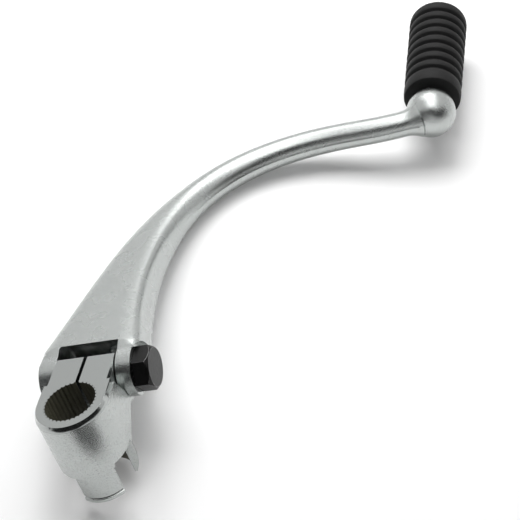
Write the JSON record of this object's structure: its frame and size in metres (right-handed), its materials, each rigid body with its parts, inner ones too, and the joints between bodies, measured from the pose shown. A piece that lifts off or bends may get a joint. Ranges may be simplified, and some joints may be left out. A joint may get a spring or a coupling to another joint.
{
  "type": "kick start lever",
  "caption": "Folding kick start lever: splined clamp knuckle, forked curved arm and a ribbed rubber pedal.",
  "frame": {"origin": "axis of the splined bore at the knuckle's outer face", "axes": "+Z along the bore, away from the engine; +Y from the bore toward the arm; +X along the pivot bolt toward its head"},
  "size_m": [0.1542, 0.2378, 0.0522],
  "materials": {
    "chrome_forging": "satin chrome over a forged surface",
    "bolt_black": "black oxide",
    "bright_steel": "bright hardened steel",
    "black_rubber": "moulded, matt"
  },
  "bodies": {
    "knuckle_body": {"knuckle": "chrome_forging", "pivot_bolt": "bolt_black"},
    "arm_body": {"kick_arm": "chrome_forging", "detent_ball": "bright_steel", "detent_spring": "bright_steel", "pedal_rubber": "black_rubber"}
  },
  "joints": [
    {"name": "arm_fold", "type": "hinge", "parent": "knuckle_body", "child": "arm_body", "pos_m": [0, 0.0224, -0.0092], "axis": [1, 0, 0], "range_deg": [0, 58]}
  ]
}
